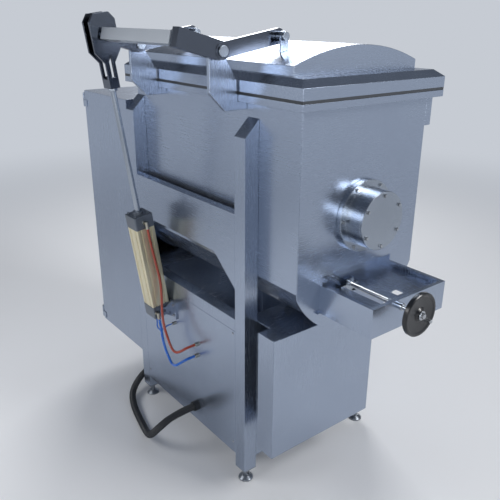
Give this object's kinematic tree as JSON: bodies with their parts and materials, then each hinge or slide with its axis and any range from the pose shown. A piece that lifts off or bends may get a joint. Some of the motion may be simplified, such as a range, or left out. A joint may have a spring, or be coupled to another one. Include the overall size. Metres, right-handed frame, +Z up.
{
  "type": "meat mixer",
  "caption": "Single-shaft paddle meat mixer with a jacketed round-bottomed trough, air-powered arched lid, screw-driven discharge door and a side drive housing.",
  "frame": {"origin": "on the floor, under the middle of the machine's overall length and width", "axes": "+X along the mixing shaft towards the discharge chute, +Y from the lid arms' side to the far side, +Z up"},
  "size_m": [1.8546, 0.9894, 1.8086],
  "materials": {
    "stainless": "satin sheet, fairly mirror-like",
    "machined_steel": "turned",
    "paddle_steel": "satin",
    "dark_steel": "dark, semi-gloss",
    "screws": "bright",
    "feet": "turned",
    "grey_wheel": "semi-gloss",
    "bearing_steel": "ground",
    "seal": "matt, pale food-grade rubber",
    "gear_paint": "semi-gloss",
    "motor_paint": "semi-gloss",
    "gold_anodised": "pale anodised",
    "grey_caps": "cast and painted",
    "nickel": "nickel-plated",
    "red_tube": "smooth tube",
    "blue_tube": "smooth tube",
    "black_conduit": "ribbed flexible conduit",
    "black_plastic": "moulded"
  },
  "bodies": {
    "frame": {"aprons": "stainless", "base_panels": "stainless", "base_rails": "stainless", "bearing_bolts": "screws", "bearings": "bearing_steel", "blue_hose": "blue_tube", "cabinet_brackets": "stainless", "cabinet_cover": "stainless", "cable_glands": "black_plastic", "chute_box": "stainless", "chute_cover": "stainless", "conduit": "black_conduit", "control_cabinet": "stainless", "cylinder_bracket": "stainless", "deck_plates": "stainless", "discharge_cover": "machined_steel", "discharge_end_wall": "stainless", "discharge_housing": "machined_steel", "drive_bearing_flange": "machined_steel", "drive_end_wall": "stainless", "drive_housing": "stainless", "gear_reducer": "gear_paint", "hinge_brackets": "stainless", "hinge_shafts": "machined_steel", "housing_hinges": "stainless", "legs": "stainless", "levelling_feet": "feet", "motor": "motor_paint", "panel_screws": "screws", "panel_unions": "nickel", "port_frame": "stainless", "red_hose": "red_tube", "screw_bearing": "machined_steel", "shaft_seals": "seal", "short_hose": "blue_tube", "torque_arm": "stainless", "trough_jacket": "stainless", "trough_liner": "stainless", "trough_rim": "stainless"},
    "agitator": {"agitator_shaft": "machined_steel", "paddle_blades": "paddle_steel"},
    "lid": {"lid_panel": "stainless", "lid_gasket": "seal", "lid_lugs": "stainless", "lid_pins": "machined_steel", "right_crank": "dark_steel", "left_crank": "dark_steel"},
    "cylinder": {"cylinder_barrel": "gold_anodised", "cylinder_caps": "grey_caps", "cylinder_fittings": "nickel"},
    "rod": {"piston_rod": "machined_steel", "rod_fork": "dark_steel", "cross_shaft": "machined_steel", "shaft_collars": "machined_steel"},
    "screw": {"lead_screw": "screws", "handwheel": "grey_wheel", "wheel_hub": "screws"},
    "door_carriage": {"discharge_door": "machined_steel", "door_nut": "machined_steel"},
    "housing_door": {"drive_door": "stainless"}
  },
  "joints": [
    {"name": "agitator_spin", "type": "hinge", "parent": "frame", "child": "agitator", "pos_m": [0.07725, 0.13242, 1.147], "axis": [1, 0, 0], "continuous": true},
    {"name": "lid_hinge", "type": "hinge", "parent": "frame", "child": "lid", "pos_m": [0.07725, -0.29257, 1.695], "axis": [1, 0, 0], "range_deg": [0, 65]},
    {"name": "cylinder_swing", "type": "hinge", "parent": "frame", "child": "cylinder", "pos_m": [-0.20075, -0.27358, 0.6], "axis": [1, 0, 0], "range_deg": [-1.45, 0], "deforming": ["red_hose", "blue_hose", "short_hose"]},
    {"name": "rod_stroke", "type": "slide", "parent": "cylinder", "child": "rod", "axis": [0, -0.144, 0.9896], "range_m": [-0.1563, 0]},
    {"name": "screw_turn", "type": "hinge", "parent": "frame", "child": "screw", "pos_m": [0.67725, 0.06042, 0.912], "axis": [1, 0, 0], "range_deg": [0, 2700]},
    {"name": "door_slide", "type": "slide", "parent": "frame", "child": "door_carriage", "axis": [1, 0, 0], "range_m": [0, 0.1501]},
    {"name": "housing_door_hinge", "type": "hinge", "parent": "frame", "child": "housing_door", "pos_m": [-0.90175, -0.22557, 0.85], "axis": [0, 0, 1], "range_deg": [0, 110]}
  ],
  "couplings": [
    {"joint": "cylinder_swing", "follows": "lid_hinge", "ratio": -0.021531},
    {"joint": "rod_stroke", "follows": "lid_hinge", "m_per_rad": -0.13756},
    {"joint": "door_slide", "follows": "screw_turn", "m_per_rad": 0.0031831}
  ]
}
